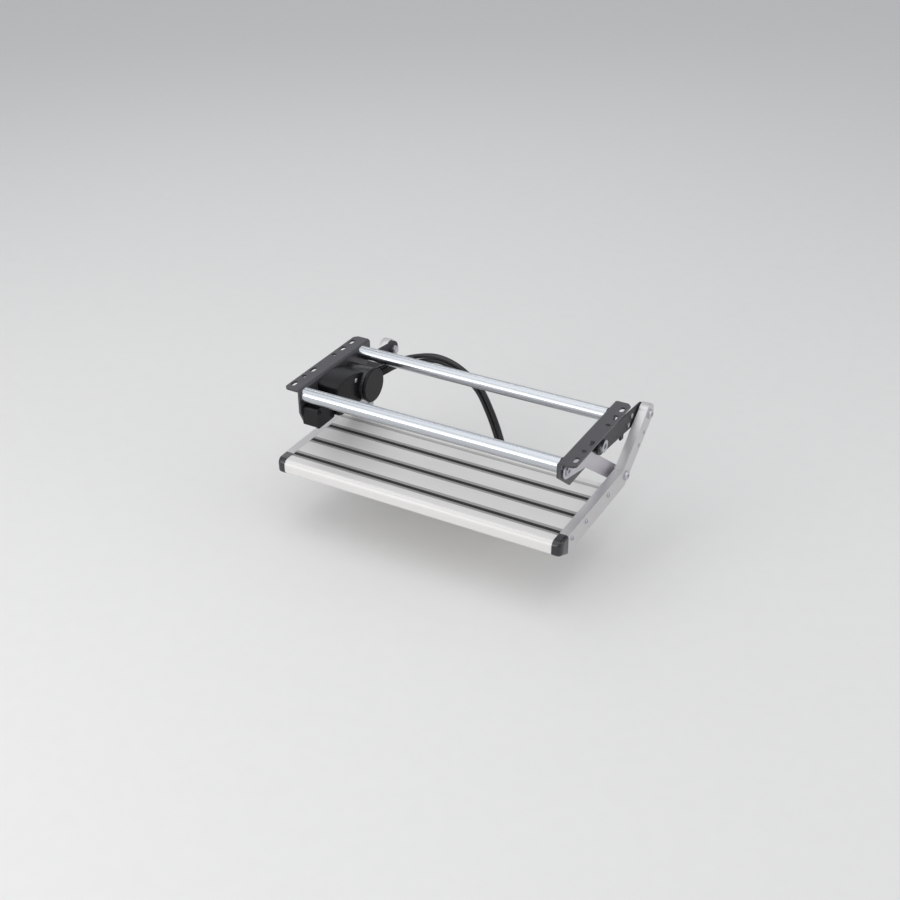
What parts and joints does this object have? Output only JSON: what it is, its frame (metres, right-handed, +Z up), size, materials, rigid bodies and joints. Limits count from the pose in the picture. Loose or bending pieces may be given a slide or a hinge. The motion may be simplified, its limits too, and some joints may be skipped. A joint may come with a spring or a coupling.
{
  "type": "electric swing-out entrance step",
  "caption": "Motor-driven caravan entrance step: wide grooved aluminium tread on bent side arms, swung out and down on paired links from two flanged steel brackets joined by round crossbars.",
  "frame": {"origin": "centre of the four round flange holes, in the plane of the mounting faces", "axes": "+X along the tread to the right as seen from the step's front, +Y back under the vehicle, +Z up"},
  "size_m": [0.594, 0.4044, 0.2755],
  "materials": {
    "black_steel": "charcoal powder coat, satin",
    "bar_aluminium": "bright anodised, drawn along its length",
    "zinc_steel": "zinc plated",
    "black_plastic": "moulded, fine grain",
    "gloss_black": "moulded, glossy",
    "black_rubber": "matt",
    "dark_link": "dark grey coat, satin",
    "pale_link": "plated, dull",
    "tread_aluminium": "natural anodised, matt",
    "arm_aluminium": "natural anodised, matt"
  },
  "bodies": {
    "frame": {"left_bracket": "black_steel", "right_bracket": "black_steel", "motor_housing": "black_steel", "motor_end_cap": "black_steel", "front_crossbar": "bar_aluminium", "rear_crossbar": "bar_aluminium", "crossbar_screws": "zinc_steel", "cover_screws": "zinc_steel", "lid_screws": "zinc_steel", "front_pivot_studs": "zinc_steel", "right_pivot_bolt": "zinc_steel", "right_pivot_nut": "zinc_steel", "right_pivot_spacer": "zinc_steel", "gear_cover": "black_plastic", "control_box": "black_plastic", "control_box_lid": "black_plastic", "motor_plug": "black_plastic", "switch_plug": "black_plastic", "lead_glands": "black_rubber", "motor_lead": "black_rubber", "motor_lead_hank": "black_rubber", "switch_lead": "black_rubber", "switch_lead_hank": "black_rubber", "hank_ties": "black_rubber"},
    "rear_links": {"output_shaft": "zinc_steel", "link_screws": "zinc_steel", "right_pivot_bush": "black_plastic", "upper_bushes": "black_plastic", "left_rear_link": "dark_link", "right_rear_link": "dark_link"},
    "front_links": {"lower_pivot_studs": "zinc_steel", "front_bushes": "black_plastic", "left_front_link": "pale_link", "right_front_link": "pale_link"},
    "tread": {"arm_screws": "zinc_steel", "arm_rivets": "zinc_steel", "lower_pivot_bolts": "zinc_steel", "upper_pivot_bolts": "zinc_steel", "upper_pivot_nuts": "zinc_steel", "left_corner_cap": "gloss_black", "right_corner_cap": "gloss_black", "grip_strips": "black_rubber", "tread_plate": "tread_aluminium", "left_side_arm": "arm_aluminium", "right_side_arm": "arm_aluminium"}
  },
  "joints": [
    {"name": "rear_link_swing", "type": "hinge", "parent": "frame", "child": "rear_links", "pos_m": [0, 0.059, -0.05], "axis": [-1, 0, 0], "range_deg": [0, 132.1]},
    {"name": "tread_level", "type": "hinge", "parent": "rear_links", "child": "tread", "pos_m": [0, 0.23664, -0.06889], "axis": [-1, 0, 0], "range_deg": [-132.2, 0]},
    {"name": "front_link_swing", "type": "hinge", "parent": "frame", "child": "front_links", "pos_m": [0, -0.0755, -0.0303], "axis": [-1, 0, 0], "range_deg": [0, 85.7]}
  ],
  "couplings": [
    {"joint": "tread_level", "follows": "rear_link_swing", "ratio": -1},
    {"joint": "front_link_swing", "follows": "rear_link_swing", "ratio": 0.64792}
  ]
}
